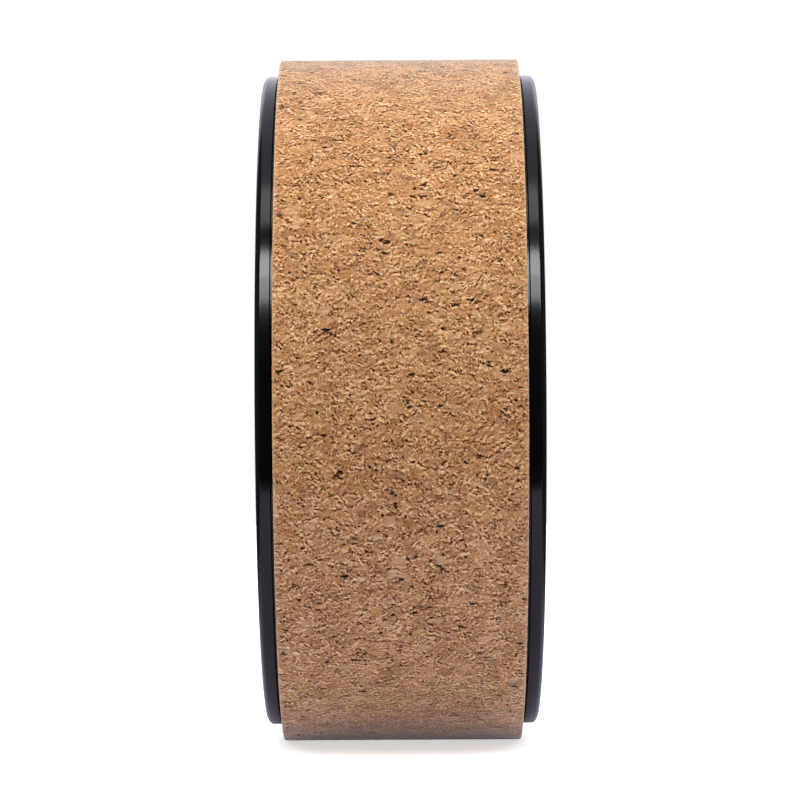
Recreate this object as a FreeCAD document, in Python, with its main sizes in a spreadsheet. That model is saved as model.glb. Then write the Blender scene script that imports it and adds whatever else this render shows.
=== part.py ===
import FreeCAD, Part
import math
import os
import re
import Sketcher

# A yoga wheel: a hollow drum moulded in two halves, with a strip of foam and a strip of cork stuck round it.
# The origin is the wheel's centre, Y is its axis and Z is up. Lengths are in millimetres, angles in degrees.
SIZES = {
    # The drum's walls, from the bore outwards
    "bore_diameter": 286.0,
    "skin": 3.5,
    "cavity_height": 5.0,
    "lip_step": 2.0,
    # The drum along its axis: the seat for the padding, and a lip on each side of it
    "pad_width": 113.6,
    "pad_side_gap": 1.1,
    "lip_width": 7.1,
    # The drum's corners: rounded where hands reach, and bevelled where the two halves meet in the bore
    "lip_round_height": 4.5,
    "lip_round_width": 2.8,
    "bore_round": 4.0,
    "seam_bevel": 0.4,
    # The joint between the halves: a tongue in a rebate all round the seat wall, hidden by the padding
    "lap_depth": 2.5,
    "lap_wall_share": 0.5,
    "joint_clearance": 0.1,
    # Webs along the cavity, and the blocks with the keys that line the two halves up
    "rib_count": 24,
    "rib_breadth": 2.5,
    "rib_root": 0.6,
    "block_count": 6,
    "block_breadth": 10.0,
    "block_length": 14.0,
    "key_breadth": 5.0,
    "key_height": 2.4,
    "key_reach": 6.0,
    # The layers of the padding, from the seat outwards, and the room for glue under the tape and under the cork
    "glue_line": 0.1,
    "tape_thickness": 0.2,
    "tape_inset": 1.0,
    "foam_thickness": 5.6,
    "cork_thickness": 4.0,
    # Where the ends of the strips meet, turned about the axis from the front towards the floor
    "cork_seam_gap": 0.3,
    "cork_seam_angle": 150.0,
    "foam_seam_gap": 0.5,
    "foam_seam_angle": 210.0,
}

# Radii of the drum, as formulas in the sizes above
BORE = "bore_diameter / 2"
CAVITY_FLOOR = f"{BORE} + skin"
CAVITY_ROOF = f"{CAVITY_FLOOR} + cavity_height"
CAVITY_MIDDLE = f"{CAVITY_FLOOR} + cavity_height / 2"
SEAT = f"{CAVITY_ROOF} + skin"
LIP = f"{SEAT} + lip_step"
LAP_WALL = "skin * lap_wall_share"

# Distances from the middle of the wheel along its axis
MIDDLE = "0"
LIP_FACE = "pad_width / 2 + pad_side_gap"
SIDE = f"{LIP_FACE} + lip_width"
CAVITY_END = f"{SIDE} - skin"

# Inner radii of the padding's layers
TAPE = f"{SEAT} + glue_line"
FOAM = f"{TAPE} + tape_thickness"
CORK = f"{FOAM} + foam_thickness + glue_line"

FULL_TURN = 360
HALF_TURN = 180

# How far a quarter round lies from its two edges, as shares of its size, at the ends of each of its flats
ROUND_FLATS = 3
ROUND_SHARES = [1 - math.cos(math.pi / 2 * step / ROUND_FLATS) for step in range(ROUND_FLATS + 1)]

UPWARD = FreeCAD.Vector(0, 0, 1)
AXLE = FreeCAD.Vector(0, 1, 0)
FORWARD = FreeCAD.Vector(1, 0, 0)

doc = FreeCAD.newDocument("yoga_wheel")
sheet = doc.addObject("Spreadsheet::Sheet", "Sizes")


def fill_sheet():
    """Writes each driving size into the sheet, with its name beside it and as its alias."""
    for row, (name, value) in enumerate(SIZES.items(), start=1):
        sheet.set(f"A{row}", name)
        sheet.set(f"B{row}", str(value))
        sheet.setAlias(f"B{row}", name)
    doc.recompute()


def size(formula):
    """The length or angle that a formula in the sheet's names comes to."""
    return float(sheet.evalExpression(formula))


def bind(item, target, formula):
    """Ties a property or a sketch's dimension to a formula in the sheet's names."""
    linked = re.sub("[a-z_]+", lambda word: f"Sizes.{word[0]}" if word[0] in SIZES else word[0], formula)
    item.setExpression(target, linked)


def origin_feature(body, role):
    """The plane or axis of a body's own origin that has this role."""
    return next(feature for feature in body.Origin.OriginFeatures if feature.Role == role)


def new_body(label, turn_axis, turn):
    """An empty body with its name, turned about an axis through the wheel's centre."""
    body = doc.addObject("PartDesign::Body", label)
    body.Label = label
    body.Placement = FreeCAD.Placement(FreeCAD.Vector(), FreeCAD.Rotation(turn_axis, size(turn)))
    bind(body, "Placement.Rotation.Angle", turn)
    return body


def new_sketch(body, name, role, height=MIDDLE):
    """A sketch on one of the body's own planes, or at a height over it."""
    sketch = body.newObject("Sketcher::SketchObject", name)
    sketch.AttachmentSupport = [(origin_feature(body, role), "")]
    sketch.MapMode = "FlatFace"
    bind(sketch, "AttachmentOffset.Base.z", height)
    return sketch


def hold(sketch, kind, where, formula, name):
    """Adds a dimension to a sketch, under a name, and ties it to a formula."""
    index = sketch.addConstraint(Sketcher.Constraint(kind, *where, size(formula)))
    sketch.renameConstraint(index, name)
    bind(sketch, f"Constraints.{name}", formula)


def draw_outline(sketch, corners):
    """Draws a closed outline through its corners, each a formula for across and a formula for up."""
    points = [FreeCAD.Vector(size(across), size(up), 0) for across, up in corners]
    last = len(corners) - 1
    for edge, (across, up) in enumerate(corners):
        sketch.addGeometry(Part.LineSegment(points[edge - 1], points[edge]))
        hold(sketch, "DistanceX", (-1, 1, edge, 2), across, f"across_{edge}")
        hold(sketch, "DistanceY", (-1, 1, edge, 2), up, f"up_{edge}")
        if edge:
            sketch.addConstraint(Sketcher.Constraint("Coincident", edge - 1, 2, edge, 1))
    sketch.addConstraint(Sketcher.Constraint("Coincident", last, 2, 0, 1))
    doc.recompute()


def draw_oblong(sketch, low, high, breadth):
    """Draws an oblong between two distances across, centred on the sketch's level axis."""
    near, far = f"-({breadth}) / 2", f"({breadth}) / 2"
    draw_outline(sketch, [(low, near), (high, near), (high, far), (low, far)])


def revolve(body, sketch, turn):
    """Turns an outline about the wheel's axis."""
    revolution = body.newObject("PartDesign::Revolution", f"{body.Name}_revolution")
    revolution.Profile = sketch
    revolution.ReferenceAxis = (sketch, ["V_Axis"])
    bind(revolution, "Angle", turn)
    doc.recompute()


def extrude(body, kind, sketch, length, backwards):
    """A pad or a pocket of a length, made from a sketch, that has to add or take material."""
    volume = body.Shape.Volume
    feature = body.newObject(kind, f"{sketch.Name}_feature")
    feature.Profile = sketch
    feature.Reversed = backwards
    bind(feature, "Length", length)
    doc.recompute()
    grew = body.Shape.Volume > volume
    if grew != (kind == "PartDesign::Pad"):
        raise RuntimeError(f"{feature.Name} points away from its piece")
    return feature


def repeat(body, feature, count):
    """Repeats a feature evenly round the wheel's axis."""
    pattern = body.newObject("PartDesign::PolarPattern", f"{feature.Name}_ring")
    pattern.Originals = [feature]
    pattern.Axis = (origin_feature(body, "Y_Axis"), [""])
    pattern.Angle = FULL_TURN
    bind(pattern, "Occurrences", count)
    body.Tip = pattern
    doc.recompute()


def rounded(across, up):
    """The points of a rounded corner, from its upright edge to its level edge.

    Across and up are each a pair: the corner's own place, and the round's size with its sign.
    """
    shares = zip(ROUND_SHARES, reversed(ROUND_SHARES))
    return [(f"{across[0]} {across[1]} * {near}", f"{up[0]} {up[1]} * {far}") for near, far in shares]


def shell_outline(lap_wall, lap_end):
    """A half drum's section: a channel that opens to the middle, with a lip at its outer corner.

    Near the middle the seat wall is stepped: lap_wall is what stays of it on its outer side, and lap_end is where
    its inner side ends, short of the middle in a rebate and past it in a tongue.
    """
    lip_corner = rounded((LIP, "- lip_round_height"), (SIDE, "- lip_round_width"))
    bore_corner = rounded((BORE, "+ bore_round"), (SIDE, "- bore_round"))
    return [
        (SEAT, MIDDLE),
        (SEAT, LIP_FACE),
        (LIP, LIP_FACE),
        *lip_corner,
        *reversed(bore_corner),
        (BORE, "seam_bevel"),
        (f"{BORE} + seam_bevel", MIDDLE),
        (CAVITY_FLOOR, MIDDLE),
        (CAVITY_FLOOR, CAVITY_END),
        (CAVITY_ROOF, CAVITY_END),
        (CAVITY_ROOF, lap_end),
        (f"{SEAT} - ({lap_wall})", lap_end),
        (f"{SEAT} - ({lap_wall})", MIDDLE),
    ]


def add_web(body, name, breadth, length):
    """A web from the cavity's floor to its roof, rooted in both, that starts at the bottom of the lap."""
    sketch = new_sketch(body, f"{body.Name}_{name}", "XZ_Plane", "-lap_depth")
    draw_oblong(sketch, f"{CAVITY_FLOOR} - rib_root", f"{CAVITY_ROOF} + rib_root", breadth)
    return extrude(body, "PartDesign::Pad", sketch, length, backwards=True)


def make_shell(label, turn, lap_wall, lap_end):
    """Half of the drum, with its webs and blocks. It is modelled on the right and turned to its own side."""
    body = new_body(label, FORWARD, turn)
    profile = new_sketch(body, f"{label}_profile", "XY_Plane")
    draw_outline(profile, shell_outline(lap_wall, lap_end))
    revolve(body, profile, str(FULL_TURN))
    rib = add_web(body, "rib", "rib_breadth", f"{CAVITY_END} - lap_depth + rib_root")
    repeat(body, rib, "rib_count")
    block = add_web(body, "block", "block_breadth", "block_length")
    repeat(body, block, "block_count")
    return body


def draw_key(body, name, clearance):
    """The section of a key or of its slot, on the end of a block and half-way up the cavity."""
    sketch = new_sketch(body, name, "XZ_Plane", "-lap_depth")
    reach = f"(key_height / 2 + {clearance})"
    low, high = f"{CAVITY_MIDDLE} - {reach}", f"{CAVITY_MIDDLE} + {reach}"
    draw_oblong(sketch, low, high, f"key_breadth + 2 * {clearance}")
    return sketch


def make_right_shell():
    """The right half, whose rebate and slots take the other half's tongue and keys."""
    body = make_shell("right_shell", "0", LAP_WALL, "lap_depth")
    sketch = draw_key(body, "slot", "joint_clearance")
    slot = extrude(body, "PartDesign::Pocket", sketch, "key_reach + joint_clearance", backwards=False)
    repeat(body, slot, "block_count")
    return body


def make_left_shell():
    """The left half, whose tongue and keys reach past the middle."""
    lap_wall = f"{LAP_WALL} + joint_clearance"
    body = make_shell("left_shell", str(HALF_TURN), lap_wall, "joint_clearance - lap_depth")
    sketch = draw_key(body, "key", MIDDLE)
    key = extrude(body, "PartDesign::Pad", sketch, "2 * lap_depth + key_reach", backwards=False)
    repeat(body, key, "block_count")
    return body


def make_strip(label, inner, thickness, breadth, seam):
    """A layer of the padding: a strip wrapped round the drum until its ends all but meet."""
    body = new_body(label, AXLE, f"{seam}_seam_angle")
    outer = f"{inner} + {thickness}"
    profile = new_sketch(body, f"{label}_profile", "XY_Plane")
    draw_oblong(profile, inner, outer, breadth)
    revolve(body, profile, f"{FULL_TURN} - {seam}_seam_gap / ({outer}) * {HALF_TURN} / pi")
    return body


def check(bodies):
    """Stops if anything failed to build, or if a sub-part isn't one sound solid."""
    for item in doc.Objects:
        if {"Invalid", "Error"} & set(item.State):
            raise RuntimeError(f"{item.Name} failed: {item.State}")
        if item.TypeId == "Sketcher::SketchObject" and not item.FullyConstrained:
            raise RuntimeError(f"{item.Name} is not held by its dimensions")
    for body in bodies:
        if body.Shape.isNull() or not body.Shape.isValid() or len(body.Shape.Solids) != 1:
            raise RuntimeError(f"{body.Label} is not one sound solid")


fill_sheet()
bodies = [
    make_left_shell(),
    make_right_shell(),
    make_strip("pad_tape", TAPE, "tape_thickness", "pad_width - 2 * tape_inset", "foam"),
    make_strip("foam_underlay", FOAM, "foam_thickness", "pad_width", "foam"),
    make_strip("cork_cover", CORK, "cork_thickness", "pad_width", "cork"),
]
doc.recompute()
check(bodies)
os.makedirs("parts", exist_ok=True)
for body in bodies:
    body.Shape.exportStep(f"parts/{body.Label}.step")
    print(body.Label, round(body.Shape.Volume), "mm3", body.Shape.BoundBox)
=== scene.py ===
"""A yoga wheel: a hollow black drum moulded in two halves, wrapped in foam and in a tread of pressed cork.

The wheel's centre is the origin, Y is its axis and Z is up. Lengths are in metres unless a name ends in _MM.
"""
import math
from types import SimpleNamespace

import bpy
import numpy as np
from mathutils import Matrix, Vector


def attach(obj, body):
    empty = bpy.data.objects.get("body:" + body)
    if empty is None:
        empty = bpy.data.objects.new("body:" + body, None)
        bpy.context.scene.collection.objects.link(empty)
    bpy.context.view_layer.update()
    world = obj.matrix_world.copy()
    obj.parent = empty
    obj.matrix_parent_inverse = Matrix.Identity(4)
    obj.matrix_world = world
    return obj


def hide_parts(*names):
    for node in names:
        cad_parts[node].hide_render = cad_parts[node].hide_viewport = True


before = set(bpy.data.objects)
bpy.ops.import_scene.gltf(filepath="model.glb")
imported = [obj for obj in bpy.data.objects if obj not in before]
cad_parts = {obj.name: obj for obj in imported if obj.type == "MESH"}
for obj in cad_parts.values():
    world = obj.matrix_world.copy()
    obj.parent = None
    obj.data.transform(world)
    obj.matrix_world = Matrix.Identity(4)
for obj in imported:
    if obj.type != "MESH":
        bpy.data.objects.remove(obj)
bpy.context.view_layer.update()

MM = 0.001
HAIR_MM = 0.01
WHITE = (1.0, 1.0, 1.0, 1.0)

# The drum's section: radii, and distances from the middle along the axis
BORE_MM = 143.0
SEAT_MM = 155.0
LIP_MM = 157.0
SKIN_MM = 3.5
LIP_FACE_MM = 57.9
SIDE_MM = 65.0
LIP_ROUND_HEIGHT_MM = 4.5
LIP_ROUND_WIDTH_MM = 2.8
LIP_EDGE_MM = 0.5
BORE_ROUND_MM = 4.0
SEAM_BEVEL_MM = 0.4
SEAM_GAP_MM = 0.02
DRUM_STEPS = 512
ROUND_STEPS = 14
EDGE_STEPS = 5
DRUM_SHARP = math.radians(40)

# The padding: strips wrapped round the seat
PAD_HALF_MM = 56.8
FOAM_INNER_MM = 155.3
FOAM_OUTER_MM = 160.9
FOAM_HOLLOW_MM = 0.35
FOAM_SEAM = math.radians(-210)
FOAM_SEAM_GAP_MM = 0.5
FOAM_COLUMNS = 384
FOAM_SIDE_LINES = 7
FOAM_SHARP = math.radians(35)
CORK_INNER_MM = 161.0
CORK_OUTER_MM = 165.0
CORK_EDGE_MM = 0.5
CORK_SEAM = math.radians(-150)
CORK_SEAM_GAP_MM = 0.3
CORK_SHARP = math.radians(50)

# The cork's mesh, and its map: rows of columns in a square, with the strip's two ends beside them
MAP_ROWS = 3
MAP_WIDTH = 0.97
MAP_MARGIN = 0.004
MAP_UNDERSIDE_MM = 3.0
MAP_ENDS = [(0.987, 0.2), (0.987, 0.7)]
MAP_END_REACH = (0.006, 0.12)
CORK_COLUMNS = 374 * MAP_ROWS
CORK_LINES = 76
CORK_SIDE_SHARES = (0, 0.33, 0.67)
CORK_CORNER_TURNS = (0, 30, 60)

# The cork's relief: lumps by depth and by size across and along the strip, then pits, sides and cut edges
CORK_SEED = 7
LUMPS_MM = [(0.10, 4.0, 2.2), (0.09, 2.4, 1.3), (0.06, 24.0, 20.0)]
PIT_COUNT = 330
PIT_DEPTH_MM = 0.5
PIT_LONG_MM = (0.9, 2.6)
PIT_SHORT_MM = (0.8, 1.3)
PIT_LEAN = 0.5
PIT_REACH_MM = 4
CRUMBLE_MM = 0.16
CUT_REACH_MM = 0.7
CUT_ON_SIDES = 0.3

# The cork's colours, from its darkest tone to its palest
CORK_TONES = [
    (0.12, (0.022, 0.010, 0.006)),
    (0.26, (0.145, 0.055, 0.021)),
    (0.37, (0.340, 0.145, 0.053)),
    (0.47, (0.430, 0.198, 0.077)),
    (0.58, (0.510, 0.253, 0.104)),
    (0.84, (0.820, 0.530, 0.282)),
]

# The camera, from the photograph's perspective
CAMERA_DISTANCE = 1.743
CAMERA_LENS = 160.9
CAMERA_SENSOR = 36.0
CAMERA_ROLL = math.radians(-0.317)
CAMERA_ASIDE = 0.0022
CAMERA_TURN = math.radians(0.0875)

# The lamps in front of the wheel: name, angle up in degrees, distance, size across and up, strength
LAMPS = [
    ("main_box", 45.3, 1.20, 1.30, 0.17, 5.8),
    ("low_box", 36.8, 1.20, 1.30, 0.21, 5.1),
    ("top_box", 66.6, 1.13, 0.90, 0.30, 1.45),
]

# The sky: where its backdrop is, and its light on dull surfaces
SKY_AIM = (-0.82, 0.0, 0.57)
SKY_BACKDROP = (0.02, 0.50)
SKY_FILL = 0.16
SKY_BACK = 1.60
# What shines in the plastic, as steps from one direction to another and the levels there
SHINE_TINT = (1.0, 1.0, 1.18, 1.0)
SHINE_START = (0.06, 0.26)
SHINE_RISE = (0.30, 1.00, 1.0, 0.5)
SHINE_ENDS = (0.30, 0.65, 1.0, 0.0)
SHINE_SIDES = (0.50, 0.95, 0.0, 0.08)

# The floor: how it looks to the camera, how it lights dull surfaces and how it shines in the plastic
FLOOR_FRONT = 0.36
FLOOR_REACH = 3.0
FLOOR_COLOUR = (0.76, 0.77, 0.80, 1.0)
FLOOR_LIFT = 0.60
FLOOR_BOUNCE = (0.60, 0.65, 0.85, 1.0)
FLOOR_MIRRORED = (0.42, 0.38, 0.50, 1.0)
FLOOR_MIRRORED_FAR = (0.04, 0.04, 0.04, 1.0)
FLOOR_GLOW_TINT = (1.0, 1.0, 1.12, 1.0)
# Steps over the floor, from one place to another and the levels there
FLOOR_GLOW_AHEAD = (0.32, 0.06, 0.12, 0.29)
FLOOR_GLOW_BELOW = (0.01, 0.08, 0.25, 1.0)
FLOOR_MIRROR_ASIDE = (0.34, 0.14)
FLOOR_MIRROR_BEHIND = (-0.40, -0.15)


class Graph:
    """A node tree that is written as nested calls."""

    def __init__(self, owner):
        owner.use_nodes = True
        self.tree = owner.node_tree
        self.tree.nodes.clear()

    def feed(self, socket, value):
        """Gives a socket a plain value, or links it to another socket or to a node's first output in use."""
        if isinstance(value, bpy.types.Node):
            value = next(out for out in value.outputs if out.enabled)
        if isinstance(value, bpy.types.NodeSocket):
            self.tree.links.new(value, socket)
        else:
            socket.default_value = value

    def add(self, kind, inputs=None, **settings):
        """A node with its settings, and its inputs by name or number."""
        node = self.tree.nodes.new(kind)
        for name, value in settings.items():
            setattr(node, name, value)
        for key, value in (inputs or {}).items():
            self.feed(node.inputs[key], value)
        return node

    def math(self, operation, first, second=0.0, third=0.0):
        return self.add("ShaderNodeMath", {0: first, 1: second, 2: third}, operation=operation)

    def mix(self, share, low, high):
        """A blend of two colours."""
        return self.add("ShaderNodeMix", {0: share, 6: low, 7: high}, data_type="RGBA").outputs[2]

    def blend(self, share, low, high):
        """A blend of two levels."""
        return self.add("ShaderNodeMix", {0: share, 2: low, 3: high}, data_type="FLOAT").outputs[0]

    def ramp(self, factor, stops):
        """A colour ramp: stops are places and colours."""
        node = self.add("ShaderNodeValToRGB", {0: factor})
        elements = node.color_ramp.elements
        while len(elements) < len(stops):
            elements.new(0.5)
        for element, (place, colour) in zip(elements, stops):
            element.position = place
            element.color = (*colour, 1.0)
        return node.outputs[0]

    def step(self, value, low, high, start=0.0, end=1.0):
        """A soft step from one level to another, between two values."""
        inputs = {0: value, 1: low, 2: high, 3: start, 4: end}
        return self.add("ShaderNodeMapRange", inputs, interpolation_type="SMOOTHSTEP").outputs[0]

    def noise(self, place, scale, detail=2.0, roughness=0.5):
        inputs = {"Vector": place, "Scale": scale, "Detail": detail, "Roughness": roughness}
        return self.add("ShaderNodeTexNoise", inputs)

    def cells(self, place, scale, feature="F1"):
        return self.add("ShaderNodeTexVoronoi", {"Vector": place, "Scale": scale}, feature=feature)

    def strokes(self, place, scale, order, angle):
        """Short strokes that lie square to an angle, more alike as their order nears 1."""
        inputs = {"Vector": place, "Scale": scale, "Frequency": 1.0, "Anisotropy": order, 4: angle}
        return self.add("ShaderNodeTexGabor", inputs).outputs[0]

    def stretched(self, place, scale):
        return self.add("ShaderNodeMapping", {"Vector": place, "Scale": scale})

    def warped(self, place, scale, reach):
        """A place moved about by noise, by up to about half the reach."""
        swirl = {0: self.noise(place, scale).outputs["Color"], 1: (0.5, 0.5, 0.5)}
        centred = self.add("ShaderNodeVectorMath", swirl, operation="SUBTRACT")
        inputs = {0: centred, 1: (reach, reach, reach), 2: place}
        return self.add("ShaderNodeVectorMath", inputs, operation="MULTIPLY_ADD").outputs[0]

    def parts(self, colour):
        return self.add("ShaderNodeSeparateColor", {0: colour})

    def attribute(self, name, output):
        """A value that the mesh holds at its points."""
        return self.add("ShaderNodeAttribute", attribute_name=name).outputs[output]

    def own_place(self):
        """A place in the object's own frame."""
        return self.add("ShaderNodeTexCoord").outputs["Object"]


def new_material(name):
    material = bpy.data.materials.new(name)
    return material, Graph(material)


def close_material(graph, inputs):
    """Ends a material in one Principled shader."""
    shader = graph.add("ShaderNodeBsdfPrincipled", inputs)
    graph.add("ShaderNodeOutputMaterial", {"Surface": shader.outputs[0]})


def cork_patterns(graph):
    """The patterns over the unrolled strip that the cork's tone, colours and relief share."""
    place = graph.attribute("unrolled", "Vector")
    bent = graph.warped(place, 300.0, 0.0010)
    loose = graph.stretched(graph.warped(place, 180.0, 0.0030), (0.70, 1.0, 1.0))
    along = graph.stretched(bent, (0.60, 1.0, 1.0))
    granule = graph.parts(graph.cells(loose, 270.0).outputs["Color"])
    border = graph.cells(loose, 270.0, "DISTANCE_TO_EDGE").outputs[0]
    grain = graph.parts(graph.cells(along, 1100.0).outputs["Color"])
    dust = graph.noise(along, 2100.0, 1.0, 0.6).outputs[0]
    patches = graph.noise(place, 45.0, 3.0).outputs[0]
    ragged = graph.math("MULTIPLY", graph.math("SUBTRACT", dust, 0.5), 0.45)
    # Strokes lie roughly across the strip, at a lean of their own in each granule. They are faint in some
    # places and crowd together in others. Where they are dark they are partly the cork's own streaks and
    # partly painted shade in its cracks, which the relief sinks too
    lean = graph.math("MULTIPLY_ADD", granule.outputs[1], math.radians(90), math.radians(45))
    long_strokes = graph.strokes(bent, 370.0, 0.45, lean)
    short_strokes = graph.strokes(bent, 650.0, 0.22, lean)
    busy = graph.step(graph.noise(along, 330.0).outputs[0], 0.36, 0.64, 0.50, 1.40)
    busy = graph.math("MULTIPLY", busy, graph.step(border, 0.40, 0.04, 0.75, 1.15))
    strokes = graph.math("MULTIPLY_ADD", short_strokes, 1.2, long_strokes)
    strokes = graph.math("MULTIPLY", graph.math("SUBTRACT", strokes, 1.1), busy)
    return SimpleNamespace(
        place=place,
        granule=granule.outputs,
        border=border,
        grain=grain.outputs,
        dust=dust,
        patches=patches,
        ragged=ragged,
        strokes=strokes,
    )


def flakes(graph, cork, swirl, reach, scale, softness):
    """Loose flakes with ragged outlines: where they are, and three chances for each of them."""
    place = graph.stretched(graph.warped(cork.place, swirl, reach), (*scale, 1.0))
    cells = graph.cells(place, 1.0)
    chance = graph.parts(cells.outputs["Color"]).outputs
    size = graph.math("MULTIPLY_ADD", chance[1], 0.20, 0.12)
    depth = graph.math("ADD", graph.math("SUBTRACT", cells.outputs["Distance"], size), cork.ragged)
    return graph.step(depth, softness, -softness), chance


def cork_tone(graph, cork):
    """How pale each place is: strokes, granules and grain, with slim dark slits and pale slivers."""
    # The dark strokes are partly the cork's own streaks and partly painted shade in its cracks
    tone = graph.math("MULTIPLY_ADD", cork.strokes, 0.95, 0.143)
    tone = graph.math("MULTIPLY_ADD", cork.granule[0], 0.17, tone)
    tone = graph.math("MULTIPLY_ADD", cork.grain[0], 0.12, tone)
    tone = graph.math("MULTIPLY_ADD", cork.dust, 0.25, tone)
    tone = graph.math("MULTIPLY_ADD", cork.patches, 0.18, tone)
    inside, chance = flakes(graph, cork, 260.0, 0.0022, (125.0, 420.0), 0.08)
    slit = graph.math("MULTIPLY", inside, graph.step(chance[0], 0.74, 0.98, 0.0, -0.45))
    sliver = graph.math("MULTIPLY", inside, graph.step(chance[0], 0.16, 0.0, 0.0, 0.26))
    return graph.math("ADD", tone, graph.math("ADD", slit, sliver))


def granule_colours(graph, cork, colour):
    """Makes some granules redder or yellower, some grit greyer, and a few granules plain pink or brown."""
    redder = graph.step(cork.granule[1], 0.70, 0.95, 0.0, 0.20)
    yellower = graph.step(cork.granule[2], 0.75, 0.95, 0.0, 0.20)
    greyer = graph.step(cork.grain[1], 0.84, 0.98, 0.0, 0.30)
    core = graph.step(cork.border, 0.02, 0.10)
    pink = graph.math("MULTIPLY", core, graph.step(cork.granule[2], 0.965, 0.980, 0.0, 0.50))
    brown = graph.math("MULTIPLY", core, graph.step(cork.granule[2], 0.045, 0.035, 0.0, 0.45))
    colour = graph.mix(redder, colour, (0.46, 0.190, 0.090, 1.0))
    colour = graph.mix(yellower, colour, (0.56, 0.300, 0.095, 1.0))
    colour = graph.mix(greyer, colour, (0.36, 0.200, 0.105, 1.0))
    colour = graph.mix(pink, colour, (0.60, 0.345, 0.190, 1.0))
    return graph.mix(brown, colour, (0.27, 0.130, 0.062, 1.0))


def chip_colours(graph, cork, colour):
    """Adds chips that stand out: cream, grey and bark. Gives the colour, and where the bark is."""
    inside, chance = flakes(graph, cork, 520.0, 0.0013, (140.0, 360.0), 0.05)
    cream = graph.math("MULTIPLY", inside, graph.step(chance[0], 0.080, 0.075, 0.0, 0.60))
    grey = graph.math("MULTIPLY", inside, graph.step(chance[2], 0.920, 0.925, 0.0, 0.55))
    bark = graph.math("MULTIPLY", inside, graph.step(chance[0], 0.947, 0.952, 0.0, 0.98))
    colour = graph.mix(cream, colour, (0.78, 0.52, 0.29, 1.0))
    colour = graph.mix(grey, colour, (0.24, 0.145, 0.080, 1.0))
    return graph.mix(bark, colour, (0.006, 0.004, 0.003, 1.0)), bark


def pit_shade_and_cut_colours(graph, cork, colour):
    """Paints shade into the open pits, near black with ragged rims, and makes the cut edges paler."""
    pit = graph.math("MULTIPLY_ADD", cork.dust, 0.6, graph.attribute("pit", "Fac"))
    cut = graph.math("MULTIPLY", graph.attribute("cut", "Fac"), 0.35)
    # Painted shade: the pits, which the relief already sinks, are painted near black
    colour = graph.mix(graph.step(pit, 0.85, 0.97, 0.0, 0.97), colour, (0.008, 0.005, 0.003, 1.0))
    return graph.mix(cut, colour, (0.88, 0.58, 0.30, 1.0))


def cork_material():
    """Pressed cork: granules in many browns with short strokes over them, matt with a soft sheen."""
    material, graph = new_material("pressed_cork")
    cork = cork_patterns(graph)
    colour = graph.ramp(cork_tone(graph, cork), CORK_TONES)
    colour = granule_colours(graph, cork, colour)
    colour, bark = chip_colours(graph, cork, colour)
    colour = pit_shade_and_cut_colours(graph, cork, colour)
    relief = graph.math("MULTIPLY_ADD", cork.granule[0], 0.2, cork.strokes)
    relief = graph.math("MULTIPLY_ADD", cork.dust, 0.3, relief)
    relief = graph.math("MULTIPLY_ADD", bark, -0.5, relief)
    bump = graph.add("ShaderNodeBump", {"Strength": 0.80, "Distance": 0.00025, "Height": relief})
    close_material(graph, {
        "Base Color": colour,
        "Roughness": graph.step(cork.patches, 0.2, 0.8, 0.42, 0.52),
        "Specular IOR Level": 0.05,
        "Sheen Weight": 0.7,
        "Sheen Roughness": 0.33,
        "Normal": bump,
    })
    return material


def drum_material():
    """Black moulded plastic with a satin gloss: faint flow marks, hairline scuffs and a little dust."""
    material, graph = new_material("black_moulded_plastic")
    place = graph.own_place()
    cloud = graph.noise(place, 45.0, 3.0).outputs[0]
    peel = graph.noise(place, 750.0).outputs[0]
    scuff_place = graph.stretched(graph.warped(place, 30.0, 0.01), (260.0, 3000.0, 260.0))
    scuff = graph.step(graph.noise(scuff_place, 1.0).outputs[0], 0.64, 0.78)
    dust = graph.cells(place, 110.0)
    lone = graph.step(graph.parts(dust.outputs["Color"]).outputs[0], 0.90, 0.92)
    mote = graph.math("MULTIPLY", graph.step(dust.outputs["Distance"], 0.010, 0.024, 0.6, 0.0), lone)
    colour = graph.ramp(cloud, [(0.3, (0.0022, 0.0022, 0.0025)), (0.7, (0.0040, 0.0040, 0.0044))])
    colour = graph.mix(mote, colour, (0.30, 0.29, 0.28, 1.0))
    rough = graph.step(cloud, 0.25, 0.75, 0.12, 0.17)
    rough = graph.math("MULTIPLY_ADD", scuff, 0.10, rough)
    rough = graph.math("MULTIPLY_ADD", mote, 0.5, rough)
    height = graph.math("MULTIPLY_ADD", scuff, -0.25, peel)
    bump = graph.add("ShaderNodeBump", {"Strength": 0.06, "Distance": 0.0002, "Height": height})
    close_material(graph, {"Base Color": colour, "Roughness": rough, "IOR": 1.5, "Normal": bump})
    return material


def foam_material():
    """Black closed-cell foam, cut with a blade, with painted shade in its open cells."""
    material, graph = new_material("black_foam")
    place = graph.own_place()
    depth = graph.cells(place, 2200.0).outputs["Distance"]
    cloud = graph.noise(place, 160.0, 3.0).outputs[0]
    colour = graph.ramp(cloud, [(0.3, (0.012, 0.012, 0.013)), (0.7, (0.026, 0.026, 0.028))])
    # Painted shade: the open cells, which the bump sinks, are painted darker towards their middles
    colour = graph.mix(graph.step(depth, 0.15, 0.5, 0.6, 0.0), colour, (0.006, 0.006, 0.006, 1.0))
    bump = graph.add("ShaderNodeBump", {"Strength": 0.6, "Distance": 0.0002, "Height": depth})
    close_material(graph, {
        "Base Color": colour,
        "Roughness": graph.step(cloud, 0.2, 0.8, 0.82, 0.96),
        "Specular IOR Level": 0.3,
        "Normal": bump,
    })
    return material


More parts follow.
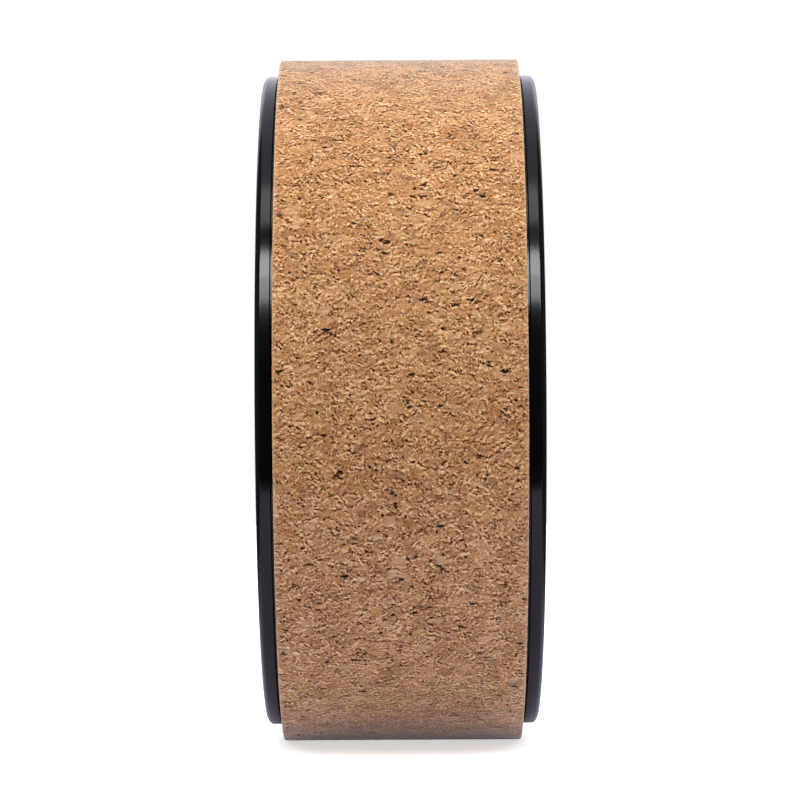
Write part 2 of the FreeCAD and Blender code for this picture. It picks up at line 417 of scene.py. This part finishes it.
def tape_material():
    """Double-sided tape: a pale tissue with its fibres."""
    material, graph = new_material("tape_tissue")
    fibre_place = graph.stretched(graph.own_place(), (300.0, 1800.0, 300.0))
    fibre = graph.noise(fibre_place, 1.0, 4.0).outputs[0]
    colour = graph.ramp(fibre, [(0.35, (0.50, 0.47, 0.38)), (0.65, (0.72, 0.69, 0.58))])
    rough = graph.step(fibre, 0.3, 0.7, 0.45, 0.7)
    bump = graph.add("ShaderNodeBump", {"Strength": 0.3, "Distance": 0.00005, "Height": fibre})
    close_material(graph, {"Base Color": colour, "Roughness": rough, "Normal": bump})
    return material


def new_piece(name, points, faces, material, node, sharp):
    """A piece of the wheel: a mesh with a material, that stands for a node and goes with the wheel."""
    mesh = bpy.data.meshes.new(name)
    mesh.from_pydata(points, [], faces)
    mesh.materials.append(material)
    mesh.validate()
    piece = bpy.data.objects.new(name, mesh)
    bpy.context.collection.objects.link(piece)
    mesh.shade_smooth()
    mesh.set_sharp_from_angle(angle=sharp)
    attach(piece, "root")
    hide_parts(node)
    return piece


def grid_faces(columns, lines, closed):
    """Quads over columns of points, each a closed section. The last column meets the first if closed."""
    column = np.arange(columns if closed else columns - 1)
    first, second = np.meshgrid(column, np.arange(lines), indexing="ij")
    right, up = (first + 1) % columns, (second + 1) % lines
    corners = (first * lines + second, right * lines + second, right * lines + up, first * lines + up)
    return np.stack([corner.ravel() for corner in corners], axis=1)


def strip_faces(columns, lines):
    """The faces of a strip: quads all round its section, and one face on each of its two ends."""
    last = (columns - 1) * lines
    ends = [list(range(lines))[::-1], list(range(last, last + lines))]
    return grid_faces(columns, lines, closed=False).tolist() + ends


def turned(angles, radii, across):
    """Points at angles from the front towards the top, as columns of radii and places along the axis."""
    angles = np.asarray(angles)[:, None]
    radii, across = np.broadcast_arrays(radii, across)
    if radii.ndim == 1:
        radii, across = radii[None, :], across[None, :]
    shape = (len(angles), radii.shape[1])
    points = (np.cos(angles) * radii, np.broadcast_to(across, shape), np.sin(angles) * radii)
    return np.stack(points, axis=2).reshape(-1, 3) * MM


def quarter(centre, reach, steps):
    """Points of a quarter round, as radius and place along the axis."""
    turn = np.radians(np.linspace(0, 90, steps + 1))
    return [(centre[0] + reach[0] * math.sin(a), centre[1] + reach[1] * math.cos(a)) for a in turn]


def drum_section():
    """The section of a half drum, as radius and distance from the middle: a hollow channel with a lip."""
    edge_centre = (LIP_MM - LIP_EDGE_MM, LIP_FACE_MM + LIP_EDGE_MM)
    lip_edge = quarter(edge_centre, (LIP_EDGE_MM, -LIP_EDGE_MM), EDGE_STEPS)
    lip_centre = (LIP_MM - LIP_ROUND_HEIGHT_MM, SIDE_MM - LIP_ROUND_WIDTH_MM)
    lip_round = quarter(lip_centre, (LIP_ROUND_HEIGHT_MM, LIP_ROUND_WIDTH_MM), ROUND_STEPS)
    bore_centre = (BORE_MM + BORE_ROUND_MM, SIDE_MM - BORE_ROUND_MM)
    bore_round = quarter(bore_centre, (-BORE_ROUND_MM, BORE_ROUND_MM), ROUND_STEPS)
    floor, roof, end = BORE_MM + SKIN_MM, SEAT_MM - SKIN_MM, SIDE_MM - SKIN_MM
    return [
        (SEAT_MM, SEAM_GAP_MM),
        (SEAT_MM, LIP_FACE_MM),
        *lip_edge,
        *reversed(lip_round),
        *bore_round,
        (BORE_MM, SEAM_BEVEL_MM),
        (BORE_MM + SEAM_BEVEL_MM, SEAM_GAP_MM),
        (floor, SEAM_GAP_MM),
        (floor, end),
        (roof, end),
        (roof, SEAM_GAP_MM),
    ]


def make_half_drum(name, node, side, material):
    """A half of the drum, turned from its section."""
    section = np.array(drum_section())
    angles = np.arange(DRUM_STEPS) * (2 * math.pi / DRUM_STEPS)
    points = turned(angles, section[:, 0], section[:, 1] * side)
    faces = grid_faces(DRUM_STEPS, len(section), closed=True)
    if side > 0:
        faces = faces[:, ::-1]
    return new_piece(name, points.tolist(), faces.tolist(), material, node, DRUM_SHARP)


def strip_angles(seam, gap_mm, outer_mm, columns):
    """The angles of a strip's columns, from one of its ends to the other."""
    half_gap = gap_mm / outer_mm / 2
    return np.linspace(seam + half_gap, seam + 2 * math.pi - half_gap, columns)


def make_foam(material):
    """The foam under the cork, squeezed a little so that its cut sides are hollow between its faces."""
    rise = np.linspace(0, 1, FOAM_SIDE_LINES)
    hollow = FOAM_HOLLOW_MM * np.sin(rise * math.pi)
    radii = FOAM_INNER_MM + rise * (FOAM_OUTER_MM - FOAM_INNER_MM)
    section_radii = np.concatenate([radii, radii[::-1]])
    section_across = np.concatenate([hollow - PAD_HALF_MM, (PAD_HALF_MM - hollow)[::-1]])
    angles = strip_angles(FOAM_SEAM, FOAM_SEAM_GAP_MM, FOAM_OUTER_MM, FOAM_COLUMNS)
    points = turned(angles, section_radii, section_across)
    faces = strip_faces(FOAM_COLUMNS, len(section_radii))
    piece = new_piece("foam_strip", points.tolist(), faces, material, "foam_underlay", FOAM_SHARP)
    return piece


def smooth_field(random, across_mm, along_mm, size_across, size_along, places):
    """Even random relief between 0 and 1, in lumps of a size across and along, read at places."""
    rows, columns = int(across_mm / size_across) + 3, int(along_mm / size_along) + 3
    levels = random.random((rows, columns))
    row, column = places[0] / size_across, places[1] / size_along
    low_row, low_column = np.floor(row).astype(int), np.floor(column).astype(int)
    up, right = row - low_row, column - low_column
    up, right = up * up * (3 - 2 * up), right * right * (3 - 2 * right)
    near = levels[low_row, low_column] * (1 - right) + levels[low_row, low_column + 1] * right
    far = levels[low_row + 1, low_column] * (1 - right) + levels[low_row + 1, low_column + 1] * right
    return near * (1 - up) + far * up


def cork_relief(across, along, length_mm):
    """How far the tread lies below its highest points, in millimetres, and how far each place is a pit."""
    random = np.random.default_rng(CORK_SEED)
    width_mm = 2 * PAD_HALF_MM
    depth, pit = np.zeros_like(across), np.zeros_like(across)
    for lump_depth, size_across, size_along in LUMPS_MM:
        lumps = smooth_field(random, width_mm, length_mm, size_across, size_along, (across, along))
        depth += lump_depth * lumps
    for _ in range(PIT_COUNT):
        centre_across, centre_along = random.random(2) * (width_mm, length_mm)
        long, short = random.uniform(*PIT_LONG_MM), random.uniform(*PIT_SHORT_MM)
        lean = random.normal(0, PIT_LEAN)
        near_across, near_along = across - centre_across, along - centre_along
        near = (np.abs(near_across) < PIT_REACH_MM) & (np.abs(near_along) < PIT_REACH_MM)
        main = near_across[near] * math.cos(lean) + near_along[near] * math.sin(lean)
        cross = near_along[near] * math.cos(lean) - near_across[near] * math.sin(lean)
        dip = np.exp(-((main / long) ** 2 + (cross / short) ** 2))
        pit[near] = np.maximum(pit[near], dip)
    return depth + PIT_DEPTH_MM * pit, pit


def cork_section():
    """The strip's section, as distance from the middle and radius: sides, rounded corners and tread."""
    corner = CORK_OUTER_MM - CORK_EDGE_MM
    flat_half = PAD_HALF_MM - CORK_EDGE_MM
    side = [(-PAD_HALF_MM, CORK_INNER_MM + share * (corner - CORK_INNER_MM)) for share in CORK_SIDE_SHARES]
    for turn in np.radians(CORK_CORNER_TURNS):
        side.append((-flat_half - CORK_EDGE_MM * math.cos(turn), corner + CORK_EDGE_MM * math.sin(turn)))
    tread = [(place, CORK_OUTER_MM) for place in np.linspace(-flat_half, flat_half, CORK_LINES)]
    other_side = [(-across, radius) for across, radius in reversed(side)]
    return np.array(side + tread + other_side)


def cork_map(mesh, columns, run):
    """Unrolls the cork into rows of one square, so that its surface has even detail."""
    lines = len(run)
    across_shares = np.concatenate([[0], np.cumsum(run)]) / run.sum()
    columns_in_row, row_height = (columns - 1) // MAP_ROWS, 1.0 / MAP_ROWS
    quad = np.arange((columns - 1) * lines)
    column, line = quad // lines, quad % lines
    row, place = column // columns_in_row, column % columns_in_row
    left, right = place / columns_in_row, (place + 1) / columns_in_row
    low, high = across_shares[line], across_shares[line + 1]
    u = np.stack([left, right, right, left], axis=1) * MAP_WIDTH + MAP_MARGIN
    v = np.stack([low, low, high, high], axis=1) * (row_height - 2 * MAP_MARGIN)
    v = v + row[:, None] * row_height + MAP_MARGIN
    corners = [np.stack([u, v], axis=2).reshape(-1, 2)]
    turn = np.linspace(0, 2 * math.pi, lines, endpoint=False)
    for end in MAP_ENDS:
        corners.append(np.array(end) + np.stack([np.cos(turn), np.sin(turn)], axis=1) * MAP_END_REACH)
    layer = mesh.uv_layers.new(name="OFBake")
    layer.data.foreach_set("uv", np.concatenate(corners).ravel())


def set_at_points(mesh, name, kind, values):
    """Stores a level, or a place, at each of a mesh's points."""
    field = "vector" if kind == "FLOAT_VECTOR" else "value"
    layer = mesh.attributes.new(name, kind, "POINT")
    layer.data.foreach_set(field, values.ravel().astype(np.float32))


def make_cork(material):
    """The tread: a strip of cork with a worn relief, pits and softened edges, its ends butted at the back."""
    section = cork_section()
    across, radii = section[:, 0], section[:, 1]
    columns, lines = CORK_COLUMNS + 1, len(section)
    length_mm = 2 * math.pi * CORK_OUTER_MM
    along = np.linspace(0, length_mm, columns)
    depth, pit = cork_relief(*np.meshgrid(across + PAD_HALF_MM, along), length_mm)
    # The relief fades on the cut sides, which crumble a little instead
    on_top = np.clip((radii - CORK_OUTER_MM + CORK_EDGE_MM) / CORK_EDGE_MM, 0, 1)
    on_side = (radii > CORK_INNER_MM + HAIR_MM) & (radii < CORK_OUTER_MM - HAIR_MM)
    random = np.random.default_rng(CORK_SEED + 1)
    crumble = random.random((columns, lines)) * CRUMBLE_MM * on_side
    angles = strip_angles(CORK_SEAM, CORK_SEAM_GAP_MM, CORK_OUTER_MM, columns)
    points = turned(angles, radii - depth * on_top, across - np.sign(across) * crumble)
    faces = strip_faces(columns, lines)
    piece = new_piece("cork_tread", points.tolist(), faces, material, "cork_cover", CORK_SHARP)
    # What the material reads: pits, which it paints with shade, cut edges and places on the unrolled strip
    mesh = piece.data
    set_at_points(mesh, "pit", "FLOAT", pit * (on_top > 0.9))
    from_corner = np.hypot(PAD_HALF_MM - np.abs(across), CORK_OUTER_MM - radii)
    on_cut = CUT_ON_SIDES * (np.abs(across) > PAD_HALF_MM - HAIR_MM)
    cut = np.maximum(np.exp(-(from_corner / CUT_REACH_MM) ** 2), on_cut)
    set_at_points(mesh, "cut", "FLOAT", np.tile(cut, columns))
    run = np.abs(np.diff(section, axis=0, append=section[:1])).sum(axis=1)
    flat = np.concatenate([[0], np.cumsum(run[:-1])])
    unrolled = np.stack([*np.meshgrid(flat, along), np.zeros((columns, lines))], axis=2) * MM
    set_at_points(mesh, "unrolled", "FLOAT_VECTOR", unrolled)
    run[-1] = MAP_UNDERSIDE_MM
    cork_map(mesh, columns, run)
    return piece


def floor_material():
    """A pale floor that lights the wheel softly from in front of it and shines faintly in the plastic."""
    material, graph = new_material("pale_floor")
    path = graph.add("ShaderNodeLightPath").outputs
    ahead, aside, _ = graph.add("ShaderNodeSeparateXYZ", {0: graph.own_place()}).outputs
    near = graph.step(graph.math("ABSOLUTE", aside), *FLOOR_MIRROR_ASIDE)
    near = graph.math("MULTIPLY", near, graph.step(ahead, *FLOOR_MIRROR_BEHIND))
    mirrored = graph.mix(near, FLOOR_MIRRORED_FAR, FLOOR_MIRRORED)
    colour = graph.mix(path["Is Diffuse Ray"], FLOOR_COLOUR, FLOOR_BOUNCE)
    colour = graph.mix(path["Is Glossy Ray"], colour, mirrored)
    plain = graph.add("ShaderNodeBsdfDiffuse", {"Color": colour})
    glow = graph.math("MULTIPLY", path["Is Diffuse Ray"], graph.step(ahead, *FLOOR_GLOW_AHEAD))
    glow = graph.math("MULTIPLY", glow, graph.step(ahead, *FLOOR_GLOW_BELOW))
    glow = graph.math("MULTIPLY_ADD", path["Is Camera Ray"], FLOOR_LIFT, glow)
    tint = graph.mix(path["Is Diffuse Ray"], WHITE, FLOOR_GLOW_TINT)
    light = graph.add("ShaderNodeEmission", {"Color": tint, "Strength": glow})
    both = graph.add("ShaderNodeAddShader", {0: plain, 1: light})
    graph.add("ShaderNodeOutputMaterial", {"Surface": both})
    return material


def make_floor():
    """A plain floor under the wheel, that ends a little way in front of it."""
    low = -CORK_OUTER_MM * MM
    corners = [
        (-FLOOR_REACH, -FLOOR_REACH, low),
        (FLOOR_FRONT, -FLOOR_REACH, low),
        (FLOOR_FRONT, FLOOR_REACH, low),
        (-FLOOR_REACH, FLOOR_REACH, low),
    ]
    mesh = bpy.data.meshes.new("floor")
    mesh.from_pydata(corners, [], [(0, 1, 2, 3)])
    mesh.materials.append(floor_material())
    floor = bpy.data.objects.new("floor", mesh)
    bpy.context.collection.objects.link(floor)


def make_sky():
    """A bright backdrop behind and above the wheel, and a dark room in front. To the camera it is white."""
    world = bpy.data.worlds.new("studio")
    bpy.context.scene.world = world
    graph = Graph(world)
    way = graph.add("ShaderNodeTexCoord").outputs["Generated"]
    facing = graph.add("ShaderNodeVectorMath", {0: way, 1: SKY_AIM}, operation="DOT_PRODUCT")
    backdrop = graph.step(facing.outputs["Value"], *SKY_BACKDROP)
    _, aside, height = graph.add("ShaderNodeSeparateXYZ", {0: way}).outputs
    aside = graph.math("ABSOLUTE", aside)
    diffuse = graph.math("MULTIPLY_ADD", backdrop, SKY_BACK, SKY_FILL)
    # What shines in the plastic: a strip of backdrop from low behind the wheel to above it, dimmer as it
    # rises, and a faint light from both sides
    strip = graph.math("MULTIPLY", backdrop, graph.step(height, *SHINE_START))
    strip = graph.math("MULTIPLY", strip, graph.step(height, *SHINE_RISE))
    strip = graph.math("MULTIPLY", strip, graph.step(aside, *SHINE_ENDS))
    glossy = graph.math("ADD", strip, graph.step(aside, *SHINE_SIDES))
    path = graph.add("ShaderNodeLightPath").outputs
    level = graph.blend(path["Is Glossy Ray"], diffuse, glossy)
    level = graph.blend(path["Is Camera Ray"], level, 1.0)
    tint = graph.mix(path["Is Glossy Ray"], WHITE, SHINE_TINT)
    shader = graph.add("ShaderNodeBackground", {"Color": tint, "Strength": level})
    graph.add("ShaderNodeOutputWorld", {"Surface": shader})


def make_lamps():
    """Soft boxes that face the wheel."""
    for name, height, distance, across, up, strength in LAMPS:
        lamp = bpy.data.lights.new(name, "AREA")
        lamp.shape = "RECTANGLE"
        lamp.size, lamp.size_y = across, up
        lamp.energy = strength
        holder = bpy.data.objects.new(name, lamp)
        bpy.context.collection.objects.link(holder)
        rise = math.radians(height)
        back = Vector((math.cos(rise), 0, math.sin(rise)))
        holder.location = back * distance
        holder.rotation_mode = "QUATERNION"
        holder.rotation_quaternion = back.to_track_quat("Z", "Y")
        holder.visible_camera = False


def make_camera():
    """A level camera in front of the wheel, a little to one side."""
    camera = bpy.data.objects.new("camera", bpy.data.cameras.new("camera"))
    bpy.context.collection.objects.link(camera)
    camera.data.lens = CAMERA_LENS
    camera.data.sensor_width = CAMERA_SENSOR
    upright = Matrix.Rotation(math.radians(90), 4, "X")
    facing = Matrix.Rotation(math.radians(90) + CAMERA_TURN, 4, "Z") @ upright
    place = Matrix.Translation((CAMERA_DISTANCE, CAMERA_ASIDE, 0))
    camera.matrix_world = place @ facing @ Matrix.Rotation(CAMERA_ROLL, 4, "Z")
    bpy.context.scene.camera = camera


make_cork(cork_material())
make_foam(foam_material())
plastic = drum_material()
make_half_drum("drum_left", "left_shell", -1, plastic)
make_half_drum("drum_right", "right_shell", 1, plastic)
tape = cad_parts["pad_tape"]
tape.data.materials.clear()
tape.data.materials.append(tape_material())
make_floor()
make_sky()
make_lamps()
make_camera()
bpy.context.scene.view_settings.view_transform = "Standard"
